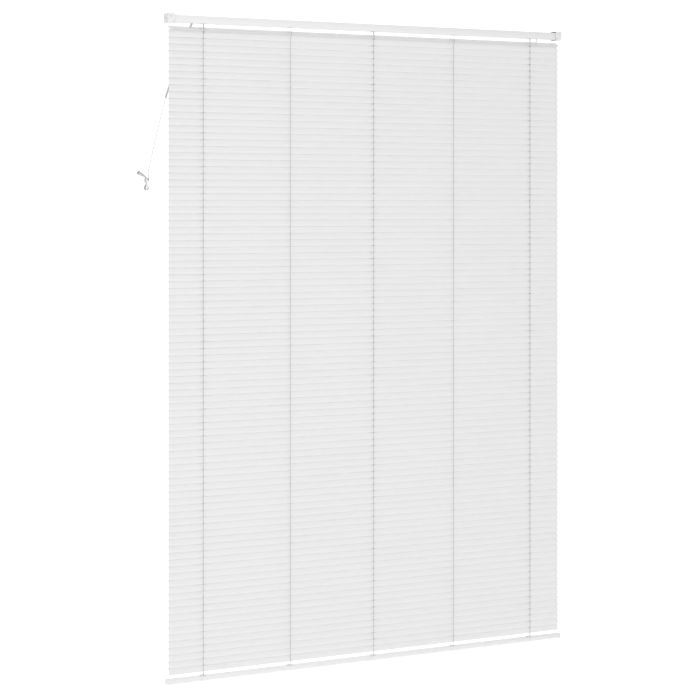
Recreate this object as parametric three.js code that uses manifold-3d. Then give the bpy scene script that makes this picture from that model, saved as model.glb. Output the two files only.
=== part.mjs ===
// A venetian blind with 25 mm metal slats, hung from a channel head rail between two box brackets.
// Millimetres, +Z up, X along the slats, -Y towards the window and +Y towards the room.
// The origin is the middle of the blind at the height of the brackets' top faces.
// The slats are modelled closed, with the edge on the window side down.
import * as THREE from "three";
import { mergeVertices } from "three/addons/utils/BufferGeometryUtils.js";
import Module from "manifold-3d";

const wasm = await Module();
wasm.setup();

// Driving dimensions
const slat = { length: 1600, width: 25, crown: 2, gauge: 0.4, count: 96, pitch: 22.315 };
const closedAngle = THREE.MathUtils.degToRad(70);
const firstSlatEdge = -54.5; // the lower edge of the first slat
const modelledEvery = 6; // one slat in this many is a solid of its own
const rail = { length: 1600, depth: 25, height: 25, wall: 0.8, lip: 4, top: -5 };
const bracket = { width: 26, depth: 30, height: 33, wall: 1.5, end: 808 };
const gate = { thickness: 1.5, gap: 0.3, knuckle: 1.6 };
const bottomRail = { length: 1604, depth: 25, height: 17, wall: 1, top: -2188, cap: 3 };
const ladders = [-672, -336, 0, 336, 672];
const liftedLadders = [0, 2, 4]; // the first, third and fifth ladder have a lift cord
const string = { radius: 0.6, y: 6.2, top: -46, bottom: -2177 };
const liftCord = { radius: 0.9, x: 4, y: 1.2, bottom: -2184.8, runY: 9.6, runZ: [-24, -21, -18] };
const cordSlot = { width: 3.4, length: 9.6, centre: 4.5 };
const rodRadius = 3;
const rodHeight = -17;
const drum = { radius: 7, waist: 5.5, flange: 1, length: 10 };
const clearance = 0.3;
const tilter = { x: 718, width: 32, gearRadius: 6, stemRadius: 2.2, lean: 25, stemReach: 34 };
const wand = { y: 23, top: -46, length: 700, radius: 4, grip: 60, gripRadius: 5.5, cap: 14 };
const lock = { x: -706, width: 32, exitSpacing: 3 };
const cordPlaneY = 22; // the pull cord hangs in this plane on the room side of the slats
const joinerTop = [-788.5, -247];
const joinerBottom = [-799, -279];
const pullCordRadius = 1.1;
const cleatCentre = [-870, -561];
const winding = { width: 18, height: 42, from: 15, to: 25.4, pegSlotWidth: 6, pegSlotHeight: 22 };
const cleat = { baseWidth: 7, baseHeight: 26, baseDepth: 3, baseY: 11 };
const horn = { y: 26, thickness: 3, width: 5, from: 5, to: 24, pegAt: 8, pegRadius: 1.8 };
const tassel = { length: 31, neck: 3.2, mouth: 7, from: [-873, -537], lean: [-0.897, 0.443] };

const paint = (color, roughness, metalness = 0) =>
  new THREE.MeshStandardMaterial({ color, roughness, metalness });
const finishes = {
  slat: paint(0xf1f1f0, 0.42, 0.1),
  enamel: paint(0xf3f3f2, 0.4, 0.1),
  zinc: paint(0xb9bcc0, 0.35, 0.9),
  plastic: paint(0xeeeeec, 0.45),
  clearPlastic: paint(0xe4e6e8, 0.2),
  greyPlastic: paint(0xb7b9bb, 0.4),
  cord: paint(0xe6e6e3, 0.9),
};

const blind = new THREE.Group();

function add(name, geometry, material) {
  const mesh = new THREE.Mesh(geometry, material);
  mesh.name = name;
  blind.add(mesh);
}

// Solids that are joined and cut

function toSolid(geometry) {
  const bare = geometry.index ? geometry.toNonIndexed() : geometry.clone();
  bare.deleteAttribute("normal");
  bare.deleteAttribute("uv");
  const merged = mergeVertices(bare, 1e-4);
  return new wasm.Manifold(
    new wasm.Mesh({
      numProp: 3,
      vertProperties: merged.attributes.position.array,
      triVerts: new Uint32Array(merged.index.array),
    }),
  );
}

function toGeometry(solid) {
  const mesh = solid.getMesh();
  const geometry = new THREE.BufferGeometry();
  geometry.setAttribute("position", new THREE.BufferAttribute(mesh.vertProperties, 3));
  geometry.setIndex(new THREE.BufferAttribute(mesh.triVerts, 1));
  geometry.computeVertexNormals();
  return geometry;
}

function cut(base, tools) {
  return toGeometry(tools.reduce((left, tool) => left.subtract(toSolid(tool)), toSolid(base)));
}

function join(pieces) {
  return toGeometry(pieces.slice(1).reduce((sum, p) => sum.add(toSolid(p)), toSolid(pieces[0])));
}

// Plain shapes, each given where it stands

// A box between two values along each axis.
function block([x0, x1], [y0, y1], [z0, z1]) {
  const box = new THREE.BoxGeometry(x1 - x0, y1 - y0, z1 - z0);
  return box.translate((x0 + x1) / 2, (y0 + y1) / 2, (z0 + z1) / 2);
}

// An outline of [y, z] points drawn out along X, centred on x.
function barAlongX(outline, length, x = 0, holes = []) {
  const toShape = ([y, z]) => new THREE.Vector2(-z, y);
  const shape = new THREE.Shape(outline.map(toShape));
  for (const hole of holes) shape.holes.push(new THREE.Path(hole.map(toShape)));
  const bar = new THREE.ExtrudeGeometry(shape, { depth: length, bevelEnabled: false });
  return bar.rotateY(Math.PI / 2).translate(x - length / 2, 0, 0);
}

// A turned shape whose axis runs from one point towards another. The profile is [radius, distance].
function turned(profile, from, to, sides = 16) {
  const shape = new THREE.LatheGeometry(profile.map(([r, d]) => new THREE.Vector2(r, d)), sides);
  const start = new THREE.Vector3(...from);
  const way = new THREE.Vector3(...to).sub(start).normalize();
  const turn = new THREE.Quaternion().setFromUnitVectors(new THREE.Vector3(0, 1, 0), way);
  return shape.applyQuaternion(turn).translate(...from);
}

function rod(radius, from, to, sides = 16) {
  const length = new THREE.Vector3(...from).distanceTo(new THREE.Vector3(...to));
  return turned([[0, 0], [radius, 0], [radius, length], [0, length]], from, to, sides);
}

// A curve that takes one step from each listed point to the next.
class Route extends THREE.Curve {
  constructor(points) {
    super();
    this.points = points.map((p) => new THREE.Vector3(...p));
  }
  getPoint(t, target = new THREE.Vector3()) {
    const place = THREE.MathUtils.clamp(t, 0, 1) * (this.points.length - 1);
    const i = Math.min(Math.floor(place), this.points.length - 2);
    return target.lerpVectors(this.points[i], this.points[i + 1], place - i);
  }
  getPointAt(t, target) {
    return this.getPoint(t, target);
  }
  getTangentAt(t, target) {
    return this.getTangent(t, target);
  }
}

function tube(points, radius, sides = 8) {
  const section = new THREE.Shape();
  for (let i = 0; i < sides; i++) {
    const turn = (i / sides) * 2 * Math.PI;
    const corner = [radius * Math.cos(turn), radius * Math.sin(turn)];
    if (i === 0) section.moveTo(...corner);
    else section.lineTo(...corner);
  }
  const options = { steps: points.length - 1, extrudePath: new Route(points), curveSegments: 1 };
  return new THREE.ExtrudeGeometry(section, options);
}

// Slats: a crowned strip, with a slot for each lift cord, turned to the closed angle

function slatOutline() {
  const steps = 6;
  const upper = [];
  const lower = [];
  for (let i = 0; i <= steps; i++) {
    const s = slat.width * (i / steps - 0.5);
    const rise = slat.crown * (1 - (2 * s / slat.width) ** 2);
    upper.push([s, rise + slat.gauge / 2]);
    lower.unshift([s, rise - slat.gauge / 2]);
  }
  return [...lower, ...upper];
}

function slatGeometry() {
  const strip = barAlongX(slatOutline(), slat.length);
  const slots = liftedLadders.map((i) => {
    const x = ladders[i] + liftCord.x;
    const half = [cordSlot.width / 2, cordSlot.length / 2];
    return block(
      [x - half[0], x + half[0]],
      [cordSlot.centre - half[1], cordSlot.centre + half[1]],
      [-slat.crown, 2 * slat.crown],
    );
  });
  return cut(strip, slots).rotateX(closedAngle);
}

function slatCentre(i) {
  const halfRise = (slat.width / 2) * Math.sin(closedAngle);
  return firstSlatEdge + halfRise - i * slat.pitch;
}

const oneSlat = slatGeometry();
for (let i = modelledEvery / 2 - 1; i < slat.count; i += modelledEvery) {
  const name = `slat_${String(i + 1).padStart(2, "0")}`;
  add(name, oneSlat.clone().translate(0, 0, slatCentre(i)), finishes.slat);
}

// Ladders: one upright string on the window side and one on the room side of each

ladders.forEach((x, i) => {
  for (const [side, y] of [["window", -string.y], ["room", string.y]]) {
    const upright = rod(string.radius, [x, y, string.bottom], [x, y, string.top], 8);
    add(`${side}_string_${i + 1}`, upright, finishes.cord);
  }
});

// Head rail: an open channel with turned-in lips, cut where strings and cords come out

function headRail() {
  const half = rail.depth / 2;
  const bottom = rail.top - rail.height;
  const inner = half - rail.wall;
  const lipEnd = half - rail.lip;
  const outline = [
    [-half, bottom], [half, bottom], [half, rail.top], [lipEnd, rail.top],
    [lipEnd, rail.top - rail.wall], [inner, rail.top - rail.wall], [inner, bottom + rail.wall],
    [-inner, bottom + rail.wall], [-inner, rail.top - rail.wall], [-lipEnd, rail.top - rail.wall],
    [-lipEnd, rail.top], [-half, rail.top],
  ];
  const floor = [bottom - 1, bottom + rail.wall + 1];
  const slots = ladders.map((x) => block([x - 7, x + 9], [-8, 8], floor));
  const cordCorner = block([lock.x - 7, lock.x + 7], [5, half + 1], [bottom - 1, -23]);
  const stemCorner = block([tilter.x - 5, tilter.x + 5], [4, half + 1], [bottom - 1, -16]);
  return cut(barAlongX(outline, rail.length), [...slots, cordCorner, stemCorner]);
}
add("head_rail", headRail(), finishes.enamel);

// Box brackets: top, window side, end and bottom plates, with a hinged gate on the room side

const gateY = bracket.depth / 2 + gate.gap;

function bracketGeometry(side) {
  const half = bracket.depth / 2;
  const outer = [bracket.end - bracket.width, bracket.end];
  const span = (a, b) => (side > 0 ? [a, b] : [-b, -a]);
  const shell = block(span(...outer), [-half, half], [-bracket.height, 0]);
  const inside = block(
    span(outer[0] - 1, outer[1] - bracket.wall),
    [-half + bracket.wall, half + 1],
    [-bracket.height + bracket.wall, -bracket.wall],
  );
  const screwHole = (x, z) => rod(2.4, [side * x, -half - 1, z], [side * x, 0, z], 12);
  const topHole = rod(2.4, [side * 796, 0, -bracket.wall - 1], [side * 796, 0, 1], 12);
  const endHole = rod(2.4, [side * (bracket.end - 4), 0, -16], [side * (bracket.end + 1), 0, -16], 12);
  return cut(shell, [inside, screwHole(797, -9), screwHole(787, -25), topHole, endHole]);
}

function gateGeometry(side) {
  const outer = [bracket.end - bracket.width, bracket.end - 1];
  const span = (a, b) => (side > 0 ? [a, b] : [-b, -a]);
  const plate = block(span(...outer), [gateY, gateY + gate.thickness], [-bracket.height, 0]);
  const pinX = side * (bracket.end - 1);
  const pinY = gateY + gate.knuckle;
  const knuckle = rod(gate.knuckle, [pinX, pinY, -bracket.height], [pinX, pinY, 0], 12);
  return join([plate, knuckle]);
}

for (const [name, side] of [["left", -1], ["right", 1]]) {
  add(`bracket_${name}`, bracketGeometry(side), finishes.enamel);
  add(`bracket_gate_${name}`, gateGeometry(side), finishes.enamel);
}

// Tilt rod with a drum above each ladder

const rodEnds = [-684, tilter.x + 12];
add("tilt_rod", rod(rodRadius, [rodEnds[0], 0, rodHeight], [rodEnds[1], 0, rodHeight], 6), finishes.zinc);

function drumGeometry(x) {
  const bore = rodRadius + clearance;
  const half = drum.length / 2;
  const inner = half - drum.flange;
  const profile = [
    [bore, -half], [drum.radius, -half], [drum.radius, -inner], [drum.waist, -inner],
    [drum.waist, inner], [drum.radius, inner], [drum.radius, half], [bore, half], [bore, -half],
  ];
  return turned(profile, [x, 0, rodHeight], [x + 1, 0, rodHeight]);
}
ladders.forEach((x, i) => add(`ladder_drum_${i + 1}`, drumGeometry(x), finishes.plastic));

// Tilter: a wheel on the rod, turned by a leaning stem that comes out at the rail's lower corner

const leanAngle = THREE.MathUtils.degToRad(tilter.lean);
const stemWay = [0, Math.sin(leanAngle), -Math.cos(leanAngle)];
const stemOffset = tilter.gearRadius + tilter.stemRadius + clearance;
const stemMiddle = [
  tilter.x,
  stemOffset * Math.cos(leanAngle),
  rodHeight + stemOffset * Math.sin(leanAngle),
];
const alongStem = (d) => stemMiddle.map((value, i) => value + d * stemWay[i]);

function gearGeometry() {
  const teeth = 18;
  const outline = new THREE.Shape();
  for (let i = 0; i < teeth * 4; i++) {
    const radius = i % 4 < 2 ? tilter.gearRadius : tilter.gearRadius - 1;
    const turn = (i / (teeth * 4)) * 2 * Math.PI;
    const corner = [radius * Math.cos(turn), radius * Math.sin(turn)];
    if (i === 0) outline.moveTo(...corner);
    else outline.lineTo(...corner);
  }
  outline.holes.push(new THREE.Path().absarc(0, 0, rodRadius + clearance, 0, 2 * Math.PI, true));
  const options = { depth: 5, bevelEnabled: false, curveSegments: 8 };
  const wheel = new THREE.ExtrudeGeometry(outline, options);
  return wheel.rotateY(Math.PI / 2).translate(tilter.x - 2.5, 0, rodHeight);
}

function tilterHousing() {
  const x = [tilter.x - tilter.width / 2, tilter.x + tilter.width / 2];
  const inner = rail.depth / 2 - rail.wall - clearance;
  const floor = rail.top - rail.height + rail.wall + clearance;
  const shell = block(x, [-inner, inner], [floor, rail.top - 2]);
  const hollow = block([x[0] + 3, x[1] - 3], [-inner + 2, inner + 1], [floor + 2, rail.top]);
  const bore = rod(rodRadius + 0.5, [x[0] - 1, 0, rodHeight], [x[0] + 4, 0, rodHeight]);
  const stemWay = block([tilter.x - 4, tilter.x + 4], [4, inner + 1], [floor - 1, floor + 3]);
  return cut(shell, [hollow, bore, stemWay]);
}
add("tilter_housing", tilterHousing(), finishes.plastic);
add("tilter_gear", gearGeometry(), finishes.plastic);
add("tilter_stem", rod(tilter.stemRadius, alongStem(-5), alongStem(tilter.stemReach)), finishes.plastic);

// Tilt wand: a six-sided rod with a cap above and a grip below

function wandGeometry() {
  const at = (z) => [tilter.x, wand.y, z];
  const end = wand.top - wand.length;
  return join([
    rod(wand.radius, at(end + 4), at(wand.top - 4), 6),
    rod(wand.radius + 1, at(wand.top - wand.cap), at(wand.top), 12),
    rod(wand.gripRadius, at(end), at(end + wand.grip), 12),
  ]);
}
add("tilt_wand", wandGeometry(), finishes.clearPlastic);

// Cord lock: an open housing and the pawl that nips the cords against the rail's wall

function lockHousing() {
  const x = [lock.x - lock.width / 2, lock.x + lock.width / 2];
  const inner = rail.depth / 2 - rail.wall - clearance;
  const floor = rail.top - rail.height + rail.wall + clearance;
  const shell = block(x, [-inner, inner], [floor, rail.top - 2]);
  const hollow = block([x[0] + 3, x[1] - 3], [-inner + 3, inner + 1], [floor + 2, rail.top]);
  const cordsIn = block([x[1] - 4, x[1] + 1], [8, inner + 1], [-25.5, -15]);
  const cordsOut = block([lock.x - 6, lock.x + 6], [6, inner + 1], [floor - 1, floor + 3]);
  return cut(shell, [hollow, cordsIn, cordsOut]);
}
const pawl = { y: 0, z: -12, reach: 8.2, width: 12, thickness: 3 };

function pawlGeometry() {
  const x = [lock.x - pawl.width / 2, lock.x + pawl.width / 2];
  const hub = rod(2.5, [x[0], pawl.y, pawl.z], [x[1], pawl.y, pawl.z], 12);
  const half = pawl.thickness / 2;
  const arm = block(x, [pawl.y, pawl.y + pawl.reach], [pawl.z - half, pawl.z + half]);
  return join([hub, arm]);
}
add("cord_lock", lockHousing(), finishes.plastic);
add("cord_lock_pawl", pawlGeometry(), finishes.zinc);

// Lift cords: up from the bottom rail, along the head rail to the lock, out and down to the joiner

const joinerSpan = [joinerBottom[0] - joinerTop[0], joinerBottom[1] - joinerTop[1]];
const joinerLength = Math.hypot(...joinerSpan);
const joinerWay = joinerSpan.map((value) => value / joinerLength);

// A point on the room-side cord plane, so far above the joiner and beside its line.
function aboveJoiner(distance, beside) {
  const x = joinerTop[0] - distance * joinerWay[0] - beside * joinerWay[1];
  const z = joinerTop[1] - distance * joinerWay[1] + beside * joinerWay[0];
  return [x, cordPlaneY, z];
}

function liftCordRoute(k) {
  const x = ladders[liftedLadders[k]] + liftCord.x;
  const y = liftCord.y;
  const runZ = liftCord.runZ[k];
  const exitX = lock.x + (1 - k) * lock.exitSpacing;
  const beside = (1 - k) * 2.1;
  const bend = 3;
  return [
    [x, y, liftCord.bottom], [x, y, -1000], [x, y, -40], [x, y, -32], [x, y + 2.4, -28],
    [x, liftCord.runY - 1.6, -25], [x - bend, liftCord.runY, runZ],
    [exitX + bend, liftCord.runY, runZ], [exitX + 1, liftCord.runY, runZ - 0.7],
    [exitX, liftCord.runY, runZ - 2.5], [exitX, liftCord.runY + 0.3, -29],
    [exitX - 1.6, 13, -34], [exitX - 7, 18, -50],
    aboveJoiner(30, beside), aboveJoiner(clearance, beside),
  ];
}
for (const k of liftedLadders.keys()) {
  add(`lift_cord_${k + 1}`, tube(liftCordRoute(k), liftCord.radius), finishes.cord);
}

// Cord joiner: two halves of a bell that part when they are pulled hard

const inCordPlane = ([x, z]) => [x, cordPlaneY, z];
const joinerSplit = joinerLength / 2;
const upperProfile = [
  [0, clearance], [2.4, clearance], [3.1, 3], [3.1, joinerSplit - 1], [2.6, joinerSplit],
  [0, joinerSplit],
];
const lowerProfile = [
  [0, joinerSplit + clearance], [2.8, joinerSplit + clearance], [3.5, joinerSplit + 3],
  [3.5, joinerLength - 7], [1.9, joinerLength - clearance], [0, joinerLength - clearance],
];
const joinerLine = [inCordPlane(joinerTop), inCordPlane(joinerBottom)];
add("cord_joiner_upper", turned(upperProfile, ...joinerLine), finishes.greyPlastic);
add("cord_joiner_lower", turned(lowerProfile, ...joinerLine), finishes.greyPlastic);

// Pull cord: from the joiner, drawn aside to the cleat

const pullCordRoute = [
  [-799.1, 22, -279.3], [-802.1, 22, -290], [-806.5, 22, -306], [-812.1, 22, -326],
  [-817.6, 22, -346], [-823, 22, -366], [-828.4, 22, -386], [-833.7, 22, -406],
  [-838.9, 22, -426], [-844.1, 22, -446], [-849.2, 22, -466], [-854.2, 22, -486],
  [-859.1, 22, -506], [-863, 22, -522], [-866.3, 22, -536],
];
add("pull_cord", tube(pullCordRoute, pullCordRadius), finishes.cord);

// Cleat beside the blind with two horned pegs, the cord wound on it, and the cord's tassel

function roundEnded(width, height, centre) {
  const radius = width / 2;
  const straight = height / 2 - radius;
  const [x, z] = centre;
  return new THREE.Shape()
    .absarc(x, z + straight, radius, 0, Math.PI, false)
    .absarc(x, z - straight, radius, Math.PI, 2 * Math.PI, false);
}

// An outline of [x, z] points with thickness between two values of Y.
function plate(shape, [y0, y1]) {
  const options = { depth: y1 - y0, bevelEnabled: false, curveSegments: 10 };
  return new THREE.ExtrudeGeometry(shape, options).rotateX(Math.PI / 2).translate(0, y1, 0);
}

function windingGeometry() {
  const shape = roundEnded(winding.width, winding.height, cleatCentre);
  const slot = roundEnded(winding.pegSlotWidth, winding.pegSlotHeight, cleatCentre);
  shape.holes.push(new THREE.Path(slot.getPoints(8)));
  return plate(shape, [winding.from, winding.to]);
}

function cleatGeometry() {
  const [x, z] = cleatCentre;
  const base = roundEnded(cleat.baseWidth, cleat.baseHeight, cleatCentre);
  const pegStart = cleat.baseY + cleat.baseDepth - 1;
  const pieces = [plate(base, [cleat.baseY, cleat.baseY + cleat.baseDepth])];
  for (const side of [-1, 1]) {
    const pegZ = z + side * horn.pegAt;
    const middle = [x, z + (side * (horn.from + horn.to)) / 2];
    const hornShape = roundEnded(horn.width, horn.to - horn.from, middle);
    pieces.push(rod(horn.pegRadius, [x, pegStart, pegZ], [x, horn.y + 1, pegZ]));
    pieces.push(plate(hornShape, [horn.y, horn.y + horn.thickness]));
  }
  return join(pieces);
}

function tasselGeometry() {
  const from = inCordPlane(tassel.from);
  const to = inCordPlane(tassel.from.map((value, i) => value + tassel.lean[i]));
  const { length, neck, mouth } = tassel;
  const profile = [
    [0, 0], [neck, 0], [neck + 1.2, 5], [mouth - 0.8, length - 5], [mouth, length - 1],
    [mouth - 1, length], [0, length],
  ];
  return turned(profile, from, to);
}
add("cord_cleat", cleatGeometry(), finishes.plastic);
add("cord_winding", windingGeometry(), finishes.cord);
add("cord_tassel", tasselGeometry(), finishes.greyPlastic);

// Bottom rail: a hollow bar with an end cap on each end and a ladder plug under each ladder

function bottomRailGeometry() {
  const half = bottomRail.depth / 2;
  const low = bottomRail.top - bottomRail.height;
  const corner = 4;
  const ring = (inset) => [
    [-half + inset, bottomRail.top - inset], [-half + inset, low + corner],
    [-half + corner, low + inset], [half - corner, low + inset],
    [half - inset, low + corner], [half - inset, bottomRail.top - inset],
  ];
  return barAlongX(ring(0), bottomRail.length, 0, [ring(bottomRail.wall)]);
}
add("bottom_rail", bottomRailGeometry(), finishes.enamel);

for (const [name, side] of [["left", -1], ["right", 1]]) {
  const start = bottomRail.length / 2 + clearance;
  const ends = [side * start, side * (start + bottomRail.cap)].sort((a, b) => a - b);
  const low = bottomRail.top - bottomRail.height;
  const half = bottomRail.depth / 2 + 0.5;
  const cap = block(ends, [-half, half], [low - 0.5, bottomRail.top + 0.5]);
  add(`bottom_rail_cap_${name}`, cap, finishes.plastic);
}

ladders.forEach((x, i) => {
  const height = 2.5;
  const low = bottomRail.top + clearance;
  add(`ladder_plug_${i + 1}`, block([x - 9, x + 9], [-6, 6], [low, low + height]), finishes.plastic);
});

export default blind;
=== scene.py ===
# Looks for a venetian blind: enamelled slats on string ladders between a head rail and a bottom rail,
# with box brackets, a tilt wand, and a pull cord wound on a cleat beside the blind.
import math

import bpy
from mathutils import Matrix, Vector


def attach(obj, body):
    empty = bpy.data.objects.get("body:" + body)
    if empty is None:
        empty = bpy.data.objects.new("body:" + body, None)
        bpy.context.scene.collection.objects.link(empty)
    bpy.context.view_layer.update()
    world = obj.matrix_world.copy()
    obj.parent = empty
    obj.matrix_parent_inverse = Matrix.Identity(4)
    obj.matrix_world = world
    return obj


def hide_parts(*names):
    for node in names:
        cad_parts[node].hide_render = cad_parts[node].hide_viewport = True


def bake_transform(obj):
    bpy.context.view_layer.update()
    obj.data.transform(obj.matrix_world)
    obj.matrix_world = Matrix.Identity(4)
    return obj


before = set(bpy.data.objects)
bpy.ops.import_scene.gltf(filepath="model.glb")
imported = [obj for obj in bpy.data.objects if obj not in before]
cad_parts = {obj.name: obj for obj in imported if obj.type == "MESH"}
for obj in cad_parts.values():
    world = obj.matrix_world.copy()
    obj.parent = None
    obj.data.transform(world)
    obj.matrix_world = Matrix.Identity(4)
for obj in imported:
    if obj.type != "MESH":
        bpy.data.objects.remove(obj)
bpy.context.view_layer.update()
mm = 0.001  # places and sizes below are in millimetres until they reach Blender


def place(x, y, z):
    return Vector((x, y, z)) * mm


def selectOnly(piece):
    if bpy.context.mode != "OBJECT":
        bpy.ops.object.mode_set(mode="OBJECT")
    bpy.ops.object.select_all(action="DESELECT")
    piece.select_set(True)
    bpy.context.view_layer.objects.active = piece


def added(name):  # names what a primitive operator has just added
    piece = bpy.context.active_object
    piece.name = piece.data.name = name
    selectOnly(piece)
    return piece


def applyTurnAndPlace(piece):
    selectOnly(piece)
    bpy.ops.object.transform_apply(location=True, rotation=True, scale=True)


def editPart(piece, mode, wanted):
    # opens edit mode with only the wanted vertices, edges or faces selected
    selectOnly(piece)
    bpy.ops.object.mode_set(mode="EDIT")
    bpy.ops.mesh.select_mode(type=mode)
    bpy.ops.mesh.select_all(action="DESELECT")
    bpy.ops.object.mode_set(mode="OBJECT")
    parts = {"VERT": piece.data.vertices, "EDGE": piece.data.edges, "FACE": piece.data.polygons}[mode]
    for part in parts:
        part.select = wanted(part)
    bpy.ops.object.mode_set(mode="EDIT")


def leaveEdit():
    bpy.ops.object.mode_set(mode="OBJECT")


def applyModifier(piece, kind, **settings):
    selectOnly(piece)
    modifier = piece.modifiers.new(kind.title(), kind)
    for setting, value in settings.items():
        setattr(modifier, setting, value)
    bpy.ops.object.modifier_apply(modifier=modifier.name)


def smooth(piece, degrees=35):
    selectOnly(piece)
    bpy.ops.object.shade_smooth_by_angle(angle=math.radians(degrees))


def finishPiece(piece, finish):
    piece.data.materials.clear()
    piece.data.materials.append(finish)
    return piece


# Camera: level with the upper third of the blind, off to its left
cameraView = {"position": (-4534.6, -7002.3, -630), "lens": 123.94, "turn": -32.384, "shift": -0.2071}
bpy.ops.object.camera_add(
    location=place(*cameraView["position"]),
    rotation=(math.radians(90), 0, math.radians(cameraView["turn"])),
)
camera = bpy.context.active_object
camera.data.sensor_width = 36
camera.data.lens = cameraView["lens"]
camera.data.shift_y = cameraView["shift"]
camera.data.clip_start, camera.data.clip_end = 0.1, 60
bpy.context.scene.camera = camera
bpy.context.scene.view_settings.view_transform = "Standard"  # white enamel stays white
print("camera set")


# Materials


class Wire:  # a value or colour on its way through a material's nodes
    def __init__(self, finish, socket):
        self.finish, self.socket = finish, socket

    def maths(self, operation, first, second):
        return self.finish.node("ShaderNodeMath", {"operation": operation}, {0: first, 1: second})

    def __add__(self, other):
        return self.maths("ADD", self, other)

    def __radd__(self, other):
        return self.maths("ADD", other, self)

    def __mul__(self, other):
        return self.maths("MULTIPLY", self, other)

    def __rmul__(self, other):
        return self.maths("MULTIPLY", other, self)


class Finish:
    def __init__(self, name, **uniform):
        self.material = bpy.data.materials.new(name)
        self.material.use_nodes = True
        self.tree = self.material.node_tree
        self.shader = next(n for n in self.tree.nodes if n.type == "BSDF_PRINCIPLED")
        for socketName, value in uniform.items():
            self.shader.inputs[socketName.replace("_", " ")].default_value = value
        self.coordinates = self.node("ShaderNodeTexCoord", {}, {}, output="Object")

    def node(self, kind, settings, inputs, output=0):
        made = self.tree.nodes.new(kind)
        for setting, value in settings.items():
            setattr(made, setting, value)
        for socketName, value in inputs.items():
            if isinstance(value, Wire):
                self.tree.links.new(value.socket, made.inputs[socketName])
            else:
                made.inputs[socketName].default_value = value
        return Wire(self, made.outputs[output])

    def feed(self, socketName, wire):
        self.tree.links.new(wire.socket, self.shader.inputs[socketName])

    def noise(self, scale, detail=2.0, stretch=(1, 1, 1)):
        spread = self.node("ShaderNodeMapping", {}, {"Vector": self.coordinates, "Scale": stretch})
        return self.node("ShaderNodeTexNoise", {}, {"Vector": spread, "Scale": scale, "Detail": detail})

    def blended(self, amount, first, second):
        colours = [c if isinstance(c, Wire) else (*c, 1) for c in (first, second)]
        inputs = {0: amount, 6: colours[0], 7: colours[1]}
        return self.node("ShaderNodeMix", {"data_type": "RGBA"}, inputs, output=2)

    def tint(self, amount, first, second):
        self.feed("Base Color", self.blended(amount, first, second))

    def bump(self, height, distance, strength=1.0):
        bumped = self.node(
            "ShaderNodeBump", {}, {"Height": height, "Distance": distance, "Strength": strength}
        )
        self.feed("Normal", bumped)


def grey(value, warmth=0.0):
    return (value + warmth, value, value - warmth)


def enamel(name, value, roughness):
    # baked enamel: a faint roll-coated texture along the strip, and a little unevenness of gloss
    finish = Finish(name, IOR=1.5, Coat_Weight=0.25, Coat_Roughness=0.25)
    blotches = finish.noise(9, 3, (0.35, 1, 1))
    grain = finish.noise(900, 2, (0.12, 1, 1))
    finish.tint(blotches, grey(value - 0.012), grey(value + 0.006))
    finish.feed("Roughness", roughness + 0.10 * blotches + 0.05 * grain)
    finish.bump(grain, 0.00002, 0.35)
    return finish.material


def braid(name, value, radius, greyBelow=None, greyValue=0.4):
    # a braided cord: two sets of strands that cross, with fine fuzz on them, and greyer below a given height
    finish = Finish(name, Roughness=0.85, Sheen_Weight=0.15, Sheen_Roughness=0.5)
    step = 1 / (radius * mm * 4)
    strands = []
    for lean in (1, -1):
        turned = finish.node(
            "ShaderNodeMapping", {}, {"Vector": finish.coordinates, "Rotation": (0.5 * lean, 0.6 * lean, 0)}
        )
        strands.append(finish.node(
            "ShaderNodeTexWave", {"wave_type": "BANDS", "bands_direction": "Z"},
            {"Vector": turned, "Scale": step / 6.3, "Distortion": 0.6}, output="Fac",
        ))
    weave = strands[0] * strands[1]
    fuzz = finish.noise(4000, 2)
    greyShare = 0.0
    # below the given height, over the winding and the tassel end, the cord blends to the given grey
    if greyBelow is not None:
        height = finish.node("ShaderNodeSeparateXYZ", {}, {0: finish.coordinates}, output="Z")
        fade = 6  # the grey sets in over this distance to each side of its edge
        greyShare = finish.node("ShaderNodeMapRange", {"clamp": True}, {
            "Value": height, "From Min": (greyBelow + fade) * mm, "From Max": (greyBelow - fade) * mm,
        })
    strand = finish.blended(weave, grey(value - 0.08, 0.004), grey(value + 0.02, 0.004))
    finish.tint(greyShare, strand, grey(greyValue))
    finish.bump(weave + 0.3 * fuzz, radius * mm * 0.25, 0.6)
    return finish.material


def moulded(name, colour, roughness=0.42, **more):
    # injection-moulded plastic: an even colour, a fine eggshell skin and faint flow marks
    finish = Finish(name, IOR=1.46, **more)
    flow = finish.noise(60, 2)
    skin = finish.noise(2600, 2)
    finish.tint(flow, [c * 0.97 for c in colour], [min(1, c * 1.02) for c in colour])
    finish.feed("Roughness", roughness + 0.08 * skin + 0.04 * flow)
    finish.bump(skin, 0.00003, 0.4)
    return finish.material


def plated(name):
    # zinc plate: long drawing marks with a mottled passivated sheen
    finish = Finish(name, Metallic=1.0)
    marks = finish.noise(1400, 3, (0.02, 1, 1))
    mottle = finish.noise(70, 2)
    finish.tint(mottle, (0.52, 0.53, 0.56), (0.68, 0.68, 0.69))
    finish.feed("Roughness", 0.28 + 0.16 * marks + 0.08 * mottle)
    finish.bump(marks, 0.00003, 0.3)
    return finish.material


# The lift cords' dark grey is painted shade: it is darker than the pull cord they join, so they show as dark
# spots in the shaded gaps between the slats.
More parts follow.
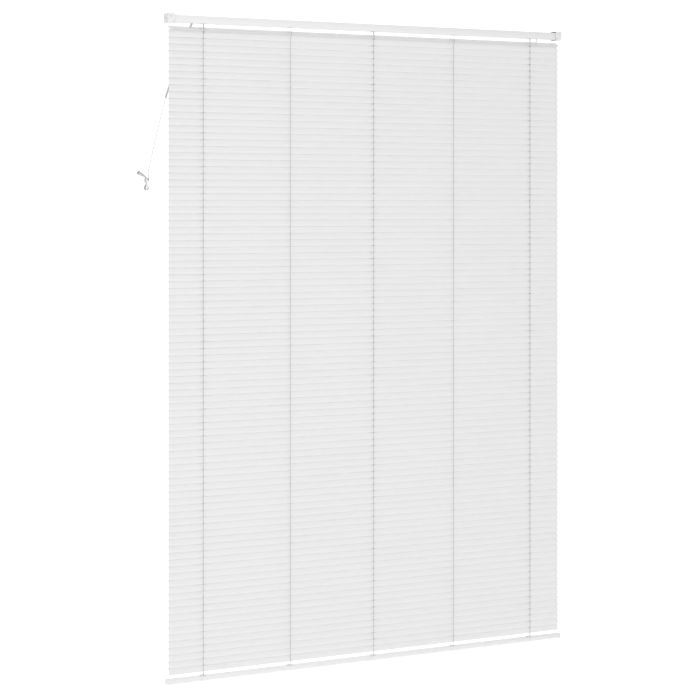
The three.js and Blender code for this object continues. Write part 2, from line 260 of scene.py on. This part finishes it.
finishValues = {
    "slat": 0.80, "rail": 0.77, "string": 0.42, "lift": 0.3, "pull": 0.6, "endGrey": 0.4, "greyBelow": -536,
    "whitePlastic": 0.80, "greyPlastic": 0.5, "roughness": 0.38,
}
slatEnamel = enamel("slatEnamel", finishValues["slat"], finishValues["roughness"])
railEnamel = enamel("railEnamel", finishValues["rail"], finishValues["roughness"] + 0.04)
ladderThread = braid("ladderThread", finishValues["string"], 0.6)
# lift cord braid: its dark grey is painted shade where the cords pass between the slats
liftBraidPaintedShade = braid("liftBraidPaintedShade", finishValues["lift"], 0.9)
pullBraid = braid("pullBraid", finishValues["pull"], 1.1, finishValues["greyBelow"], finishValues["endGrey"])
whitePlastic = moulded("whitePlastic", grey(finishValues["whitePlastic"]))
greyPlastic = moulded("greyPlastic", grey(finishValues["greyPlastic"]), 0.38)
clearPlastic = moulded("clearPlastic", (0.86, 0.9, 0.9), 0.12, Alpha=0.55, Coat_Weight=0.5)
zincPlate = plated("zincPlate")
print("finishes mixed")


# Cords: a tube along points, smooth where it bends


def cordAlong(name, runs, radius, kind="NURBS", sidesStep=1):
    line = bpy.data.curves.new(name, "CURVE")
    line.dimensions = "3D"
    line.bevel_depth = radius * mm
    line.bevel_resolution = sidesStep
    line.use_fill_caps = True
    for points in runs:
        spline = line.splines.new(kind)
        spline.points.add(len(points) - 1)
        for point, spot in zip(spline.points, points):
            point.co = (*(Vector(spot) * mm), 1)
        if kind == "NURBS":
            spline.order_u, spline.use_endpoint_u, spline.resolution_u = 3, True, 4
    piece = bpy.data.objects.new(name, line)
    bpy.context.scene.collection.objects.link(piece)
    return piece


def cordMesh(name, runs, radius, **how):
    piece = cordAlong(name, runs, radius, **how)
    selectOnly(piece)
    bpy.ops.object.convert(target="MESH")
    bpy.ops.object.shade_smooth()
    return bpy.context.active_object


# The pull cord: from the joiner, drawn aside to the cleat, wound on it in figures of eight, to its tassel
pullCord = {
    "radius": 1.1, "length": 474, "steps": 40, "perTurn": 24, "centre": (-870, -561), "halfWidth": 7.7,
    "halfHeight": 18.6, "firstDepth": 16.3, "turnDepth": 4.7,
}


def pullCordRoute():
    drawnAside = [
        (-799.1, 22, -279.3), (-802.1, 22, -290), (-806.5, 22, -306), (-812.1, 22, -326),
        (-817.6, 22, -346), (-823, 22, -366), (-828.4, 22, -386), (-833.7, 22, -406),
        (-838.9, 22, -426), (-844.1, 22, -446), (-849.2, 22, -466), (-854.2, 22, -486),
        (-859.1, 21.8, -506), (-862.4, 21, -520), (-864.4, 19.6, -530), (-864.3, 17.9, -537),
        (-863.2, 17, -543.5),
    ]
    x, z = pullCord["centre"]
    wound = []
    for i in range(pullCord["perTurn"] // 8, pullCord["steps"]):
        turn = 2 * math.pi * i / pullCord["perTurn"]
        wound.append((
            x + pullCord["halfWidth"] * math.sin(2 * turn),
            pullCord["firstDepth"] + pullCord["turnDepth"] * i / pullCord["perTurn"],
            z + pullCord["halfHeight"] * math.cos(turn),
        ))
    toTassel = [
        (-862.2, 24.2, -568), (-862.1, 24.2, -560), (-862.6, 24.2, -552), (-864.6, 24, -545),
        (-868.4, 23.2, -540), (-873.2, 22.4, -537), (-876, 22, -535.5),
    ]
    return drawnAside + wound + toTassel


def routeLength(points):
    return sum((Vector(b) - Vector(a)).length for a, b in zip(points, points[1:])) * mm


route = pullCordRoute()
pull = cordAlong("pullCord", [route], pullCord["radius"], sidesStep=3)
finishPiece(pull, pullBraid)
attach(pull, "frame")
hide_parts("pull_cord", "cord_winding")
print("pull cord route:", round(routeLength(route), 3), "m")


# Turned pieces: rings drawn out along a line from a disc


def turnedPiece(name, profile, start, way, sides=28):
    radius, height = profile[0]
    bpy.ops.mesh.primitive_circle_add(vertices=sides, radius=radius * mm, fill_type="NGON")
    piece = added(name)
    bpy.ops.object.mode_set(mode="EDIT")
    bpy.ops.mesh.select_all(action="SELECT")
    bpy.ops.transform.translate(value=(0, 0, height * mm))
    for nextRadius, nextHeight in profile[1:]:
        rise = (nextHeight - height) * mm
        bpy.ops.mesh.extrude_region_move(TRANSFORM_OT_translate={"value": (0, 0, rise)})
        growth = nextRadius / radius
        bpy.ops.transform.resize(value=(growth, growth, 1), center_override=(0, 0, nextHeight * mm))
        radius, height = nextRadius, nextHeight
    bpy.ops.mesh.select_all(action="SELECT")
    bpy.ops.mesh.normals_make_consistent(inside=False)
    leaveEdit()
    piece.rotation_mode = "QUATERNION"
    piece.rotation_quaternion = Vector(way).to_track_quat("Z", "Y")
    piece.location = Vector(start) * mm
    applyTurnAndPlace(piece)
    smooth(piece, 40)
    return piece


joiner = {"top": (-788.5, 22, -247), "bottom": (-799, 22, -279)}
joinerWay = Vector(joiner["bottom"]) - Vector(joiner["top"])
joinerLength = joinerWay.length
joinerProfiles = {
    "joinerUpper": [
        (1.8, 0.5), (2.3, 0.8), (2.8, 2.2), (3.1, 4.4), (3.1, 12.2), (2.8, 12.8), (2.8, 13.9),
        (3.1, 14.4), (3.0, 16.0), (2.6, 16.6),
    ],
    "joinerLower": [
        (2.6, 17.3), (3.2, 17.8), (3.5, 20.4), (3.5, 25), (3.1, 28.6), (2.5, 31.2), (2.1, 32.6), (1.7, 33.2),
    ],
}
for name, profile in joinerProfiles.items():
    half = turnedPiece(name, profile, joiner["top"], joinerWay)
    finishPiece(half, greyPlastic)
    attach(half, "frame")
    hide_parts("cord_joiner_" + name[6:].lower())

tassel = {"start": (-873, 22, -537), "way": (-0.897, 0, 0.443)}
tasselProfile = [
    (1.9, 0.2), (2.8, 0.6), (3.1, 2.2), (3.3, 4.4), (4.0, 6.0), (4.3, 8), (5.3, 16), (6.2, 25.2),
    (6.8, 27.4), (6.9, 29.4), (6.5, 30.4), (5.6, 30.8), (5.2, 29.6), (4.9, 24),
]
tasselPiece = turnedPiece("tassel", tasselProfile, tassel["start"], tassel["way"])
finishPiece(tasselPiece, greyPlastic)
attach(tasselPiece, "frame")
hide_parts("cord_tassel")
print("joiner and tassel turned")

# Slats: one strip is rolled, slotted and given its corners, then copied to each place
slat = {
    "length": 1600, "width": 25, "crown": 2, "gauge": 0.28, "count": 96, "pitch": 22.315, "firstEdge": -54.5,
    "closed": 70, "firstTilt": 34, "firstReach": 43, "corner": 2.6, "slotWidth": 2.2,
    "rows": (-9.4, -4.8, 0, 4.8, 9.4), "modelledEvery": 6,
}
ladderPlaces = (-672, -336, 0, 336, 672)
liftedLadders = (-672, 0, 672)
liftOffset = 4


def makeSlat():
    bpy.ops.mesh.primitive_plane_add(size=1)
    piece = added("slatPattern")
    piece.scale = (slat["length"] * mm, slat["width"] * mm, 1)
    applyTurnAndPlace(piece)
    bpy.ops.object.mode_set(mode="EDIT")
    for row in slat["rows"]:
        bpy.ops.mesh.select_all(action="SELECT")
        bpy.ops.mesh.bisect(plane_co=place(0, row, 0), plane_no=(0, 1, 0))
    for x in liftedLadders:
        for side in (-0.5, 0.5):
            bpy.ops.mesh.select_all(action="SELECT")
            column = place(x + liftOffset + side * slat["slotWidth"], 0, 0)
            bpy.ops.mesh.bisect(plane_co=column, plane_no=(1, 0, 0))
    leaveEdit()

    def isSlot(face):
        x, y, _ = face.center / mm
        beside = any(abs(x - ladder - liftOffset) < slat["slotWidth"] / 2 for ladder in liftedLadders)
        return beside and slat["rows"][2] < y < slat["rows"][4]

    editPart(piece, "FACE", isSlot)
    bpy.ops.mesh.delete(type="FACE")
    halfLength, halfWidth = slat["length"] / 2 * mm, slat["width"] / 2 * mm
    editPart(piece, "VERT", lambda v: abs(v.co.x) > halfLength - 1e-5 and abs(v.co.y) > halfWidth - 1e-5)
    bpy.ops.mesh.bevel(offset=slat["corner"] * mm, segments=3, affect="VERTICES")
    leaveEdit()
    for row in sorted({round(v.co.y, 6) for v in piece.data.vertices}):
        rise = slat["crown"] * mm * (1 - (row / halfWidth) ** 2)
        editPart(piece, "VERT", lambda v: abs(v.co.y - row) < 2e-6 and abs(v.co.z) < 1e-9)
        bpy.ops.transform.translate(value=(0, 0, rise))
        leaveEdit()
    applyModifier(piece, "SOLIDIFY", thickness=slat["gauge"] * mm, offset=0)
    piece.rotation_euler = (math.radians(slat["closed"]), 0, 0)
    applyTurnAndPlace(piece)
    smooth(piece, 30)
    return piece


# The first slat hangs close under the head rail, where the ladders hold it further open
edgeReach = slat["width"] * 5 / 6  # past each edge, so that a level slat has its full width


def slatTilt(i):
    return math.radians(slat["closed"] if i else slat["firstTilt"])


def slatHeight(i):
    return slat["firstEdge"] + slat["width"] / 2 * math.sin(slatTilt(i)) - i * slat["pitch"]


def hungCopy(pattern, name, i):  # a copy of a pattern at slat i, tilted as the ladders hold it
    z, tilt = slatHeight(i), slatTilt(i)
    piece = pattern.copy()
    piece.data = pattern.data.copy()
    piece.name = piece.data.name = f"{name}{i + 1:02d}"
    piece.data.transform(Matrix.Rotation(tilt - math.radians(slat["closed"]), 4, "X"))
    piece.data.transform(Matrix.Translation(place(0, 0, z)))
    bpy.context.scene.collection.objects.link(piece)
    reach = Vector((0, math.cos(tilt), math.sin(tilt))) * (edgeReach if i else slat["firstReach"])
    middle = Vector((0, 0, z))
    (middle + reach) * mm
    (middle - reach) * mm
    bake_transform(piece)
    return piece


slatPattern = makeSlat()
for i in range(slat["count"]):
    piece = finishPiece(hungCopy(slatPattern, "slat", i), slatEnamel)
    if (i + 1) % slat["modelledEvery"] == slat["modelledEvery"] // 2:  # has a solid and a hinge of its own
        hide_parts(f"slat_{i + 1:02d}")
bpy.data.objects.remove(slatPattern)
print("slats hung")


# Ladders: two upright strings each, and a rung under each slat
ladder = {
    "stringY": 6.2, "stringRadius": 0.6, "top": -70, "bottom": -2170, "rungRadius": 0.4, "rungDrop": 0.75,
    "rungReach": 0.6, "stringBlend": 9.3, "drumY": 7.5, "rodHeight": -17, "leadStill": -25,
    "splay": (12, -52.5), "roomSplay": (12, -39.5), "plugTop": -2185.5, "plugInset": 0.6, "stillShare": 1 / 3,
}


def rungRun(x):
    closed = math.radians(slat["closed"])
    chord = Vector((0, math.cos(closed), math.sin(closed)))  # from the window-side edge to the room-side edge
    under = Vector((0, -chord.z, chord.y)) * -ladder["rungDrop"]  # the slat's hollow side
    edge = chord * (slat["width"] / 2 + ladder["rungReach"])
    stringEnd = Vector((0, ladder["stringY"], edge.z + ladder["rungReach"]))
    return [Vector((x, 0, 0)) + spot for spot in (stringEnd, edge + under, -edge + under, -stringEnd)]


rungPattern = cordMesh("rungPattern", [rungRun(x) for x in ladderPlaces], ladder["rungRadius"],
                       kind="POLY", sidesStep=0)
for i in range(slat["count"]):
    finishPiece(hungCopy(rungPattern, "rungs", i), ladderThread)
bpy.data.objects.remove(rungPattern)


def hangString(name, points, side, moving, still):
    # a short end of string, from the end of the ladder string to a point where it is held still
    piece = cordMesh(name, [points], ladder["stringRadius"], kind="POLY")
    finishPiece(piece, ladderThread)
    span = (moving - still) / ladder["stillShare"]
    heights = [place(0, 0, still - span / 2), place(0, 0, still + span / 2)]
    if side > 0:
        heights.reverse()
    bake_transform(piece)


for number, x in enumerate(ladderPlaces, 1):
    for side, name, node in ((-1, "windowString", "window_string_"), (1, "roomString", "room_string_")):
        y = side * ladder["stringY"]
        run = [(x, y, ladder["bottom"]), (x, y, ladder["bottom"] / 2), (x, y, ladder["top"])]
        piece = cordMesh(f"{name}{number}", [run], ladder["stringRadius"], kind="POLY")
        finishPiece(piece, ladderThread)
        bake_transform(piece)
        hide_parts(f"{node}{number}")

        splayY, splayZ = ladder["splay"] if side < 0 else ladder["roomSplay"]
        drumY = side * ladder["drumY"]
        lead = [
            (x, y, ladder["top"]), (x, side * splayY, splayZ), (x, drumY, ladder["leadStill"]),
            (x, drumY, ladder["rodHeight"]),
        ]
        hangString(f"{name}Lead{number}", lead, side, ladder["top"], ladder["leadStill"])
        low, inset = ladder["plugTop"], y * ladder["plugInset"]
        tail = [(x, y, ladder["bottom"]), (x, y, ladder["bottom"] - 3), (x, inset, low + 1), (x, inset, low)]
        hangString(f"{name}Tail{number}", tail, side, ladder["bottom"], low)
print("ladders strung")


# Lift cords: up through the slats, along the head rail, out at the lock and down to the joiner
lift = {
    "radius": 0.9, "y": 1.2, "bottom": -2184.8, "runY": 9.6, "runZ": (-24, -21, -18), "lockX": -706,
    "lockSpacing": 3, "joinerSpacing": 2.1,
}


def besideJoiner(distance, beside):
    way = joinerWay / joinerLength
    return Vector(joiner["top"]) - way * distance + Vector((-way.z, 0, way.x)) * beside


def liftRoute(k):
    x, y, runY, runZ = liftedLadders[k] + liftOffset, lift["y"], lift["runY"], lift["runZ"][k]
    exitX = lift["lockX"] + (1 - k) * lift["lockSpacing"]
    beside = (1 - k) * lift["joinerSpacing"]
    return [
        (x, y, lift["bottom"]), (x, y, -1000), (x, y, -40), (x, y, -32), (x, y + 2.4, -28),
        (x, runY - 1.6, -25), (x - 3, runY, runZ), (exitX + 3, runY, runZ), (exitX + 1, runY, runZ - 0.7),
        (exitX, runY, runZ - 2.5), (exitX, runY + 0.3, -29), (exitX - 1.6, 13, -34),
        (exitX - 7, 18, -50), besideJoiner(30, beside), besideJoiner(0.4, beside),
    ]


for k in range(3):
    piece = cordMesh(f"liftCord{k + 1}", [liftRoute(k)], lift["radius"], sidesStep=2)
    finishPiece(piece, liftBraidPaintedShade)
    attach(piece, "frame")
    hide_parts(f"lift_cord_{k + 1}")
print("lift cords threaded")


# Folded and moulded pieces: the solids again, with their edges eased as folding and moulding leave them


def easedCopy(node, name, width, segments=2, angle=30):
    source = bpy.data.objects[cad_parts[node].name]
    piece = bpy.data.objects.new(name, source.data.copy())
    bpy.context.scene.collection.objects.link(piece)
    selectOnly(piece)
    bpy.ops.object.mode_set(mode="EDIT")
    bpy.ops.mesh.select_all(action="SELECT")
    bpy.ops.mesh.remove_doubles(threshold=1e-6)
    bpy.ops.mesh.customdata_custom_splitnormals_clear()
    bpy.ops.mesh.dissolve_limited(angle_limit=math.radians(1))
    leaveEdit()
    applyModifier(
        piece, "BEVEL", width=width * mm, segments=segments, limit_method="ANGLE",
        angle_limit=math.radians(angle), use_clamp_overlap=True,
    )
    smooth(piece, 40)
    return piece


easedPieces = [
    ("head_rail", "headRail", "frame", 0.3, railEnamel, "enamel"),
    ("bracket_left", "bracketLeft", "frame", 0.5, railEnamel, "enamel"),
    ("bracket_right", "bracketRight", "frame", 0.5, railEnamel, "enamel"),
    ("bracket_gate_left", "gateLeft", "gate_left", 0.4, railEnamel, "enamel"),
    ("bracket_gate_right", "gateRight", "gate_right", 0.4, railEnamel, "enamel"),
    ("bottom_rail", "bottomRail", "frame", 0.4, railEnamel, "enamel"),
    ("bottom_rail_cap_left", "bottomCapLeft", "frame", 1.0, whitePlastic, "white_plastic"),
    ("bottom_rail_cap_right", "bottomCapRight", "frame", 1.0, whitePlastic, "white_plastic"),
    ("cord_cleat", "cleat", "frame", 0.8, whitePlastic, "white_plastic"),
    ("tilt_wand", "tiltWand", "tilt_wand", 0.6, clearPlastic, "clear_plastic"),
]
for node, name, body, width, finish, slotName in easedPieces:
    piece = finishPiece(easedCopy(node, name, width), finish)
    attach(piece, body)
    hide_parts(node)
print("rails, brackets and fittings eased")


# Clips that hold each ladder to the front of the bottom rail
railClip = {
    "width": 11, "low": -2203, "high": -2190, "face": -12.6, "thickness": 0.9, "rim": 1.6, "dish": 0.4,
    "easing": 0.3, "beside": 2,
}


def makeRailClip(name, x):
    height, middle = railClip["high"] - railClip["low"], (railClip["high"] + railClip["low"]) / 2
    bpy.ops.mesh.primitive_cube_add(size=1)
    clip = added(name)
    clip.scale = Vector((railClip["width"], railClip["thickness"], height)) * mm
    clip.location = place(x, railClip["face"] - railClip["thickness"] / 2, middle)
    applyTurnAndPlace(clip)
    editPart(clip, "FACE", lambda face: face.normal.y < -0.9)
    bpy.ops.mesh.inset(thickness=railClip["rim"] * mm)
    bpy.ops.transform.translate(value=(0, railClip["dish"] * mm, 0))
    leaveEdit()
    applyModifier(
        clip, "BEVEL", width=railClip["easing"] * mm, segments=2, limit_method="ANGLE", angle_limit=0.5
    )
    smooth(clip, 40)
    finishPiece(clip, whitePlastic)
    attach(clip, "frame")


for number, x in enumerate(ladderPlaces, 1):
    makeRailClip(f"railClip{number}", x + railClip["beside"])
print("rail clips added")


# Pieces that keep their solids and only get a finish
keptFinishes = {
    "tilt_rod": zincPlate, "cord_lock_pawl": zincPlate, "tilter_housing": whitePlastic,
    "tilter_gear": whitePlastic, "tilter_stem": whitePlastic, "cord_lock": whitePlastic,
}
for number in range(1, 6):
    keptFinishes[f"ladder_drum_{number}"] = whitePlastic
    keptFinishes[f"ladder_plug_{number}"] = whitePlastic
for node, finish in keptFinishes.items():
    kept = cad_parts[node]
    kept.data.materials.clear()
    kept.data.materials.append(finish)


# Studio: a pale floor that rises behind the blind, with soft light from in front, the left and the room side
studio = {
    "floor": -2330, "width": 24000, "near": -9500, "far": 7000, "wall": 6000, "bend": 2500,
    "paper": 0.93, "glow": 0.4, "sky": 0.63,
}


def makeStage():
    bpy.ops.mesh.primitive_plane_add(size=1)
    floor = added("floor")
    depth = studio["far"] - studio["near"]
    floor.scale = (studio["width"] * mm, depth * mm, 1)
    floor.location = place(0, (studio["far"] + studio["near"]) / 2, studio["floor"])
    applyTurnAndPlace(floor)
    back = studio["far"] * mm
    editPart(floor, "EDGE", lambda e: all(floor.data.vertices[v].co.y > back - 1e-4 for v in e.vertices))
    bpy.ops.mesh.extrude_region_move(TRANSFORM_OT_translate={"value": (0, 0, studio["wall"] * mm)})
    leaveEdit()
    corner = studio["floor"] * mm
    editPart(floor, "EDGE", lambda e: all(
        floor.data.vertices[v].co.y > back - 1e-4 and floor.data.vertices[v].co.z < corner + 1e-4
        for v in e.vertices
    ))
    bpy.ops.mesh.bevel(offset=studio["bend"] * mm, segments=12, affect="EDGES")
    leaveEdit()
    smooth(floor, 60)
    paper = Finish("studioPaper", Roughness=0.9)
    paper.shader.inputs["Base Color"].default_value = (*grey(studio["paper"]), 1)
    paper.shader.inputs["Emission Color"].default_value = (1, 1, 1, 1)
    paper.shader.inputs["Emission Strength"].default_value = studio["glow"]
    floor.data.materials.append(paper.material)


lights = {
    "overhead": {"at": (-1500, -5900, 1300), "to": (0, 0, -1100), "size": 4.0, "watts": 96},
    "front": {"at": (-5200, -5200, 300), "to": (0, 0, -1100), "size": 4.0, "watts": 34},
    "room": {"at": (2500, 4200, 1800), "to": (0, 0, -1000), "size": 3.5, "watts": 60},
}


def addLight(name, facts):
    way = Vector(facts["to"]) - Vector(facts["at"])
    bpy.ops.object.light_add(type="AREA", location=place(*facts["at"]))
    lamp = bpy.context.active_object
    lamp.name = name + "Light"
    lamp.rotation_mode = "QUATERNION"
    lamp.rotation_quaternion = way.to_track_quat("-Z", "Y")
    lamp.data.size = facts["size"]
    lamp.data.energy = facts["watts"]


makeStage()
for name, facts in lights.items():
    addLight(name, facts)
world = bpy.data.worlds.new("studioWorld")
bpy.context.scene.world = world
world.use_nodes = True
world.node_tree.nodes["Background"].inputs["Color"].default_value = (1, 1, 1, 1)
world.node_tree.nodes["Background"].inputs["Strength"].default_value = studio["sky"]
print("studio lit")
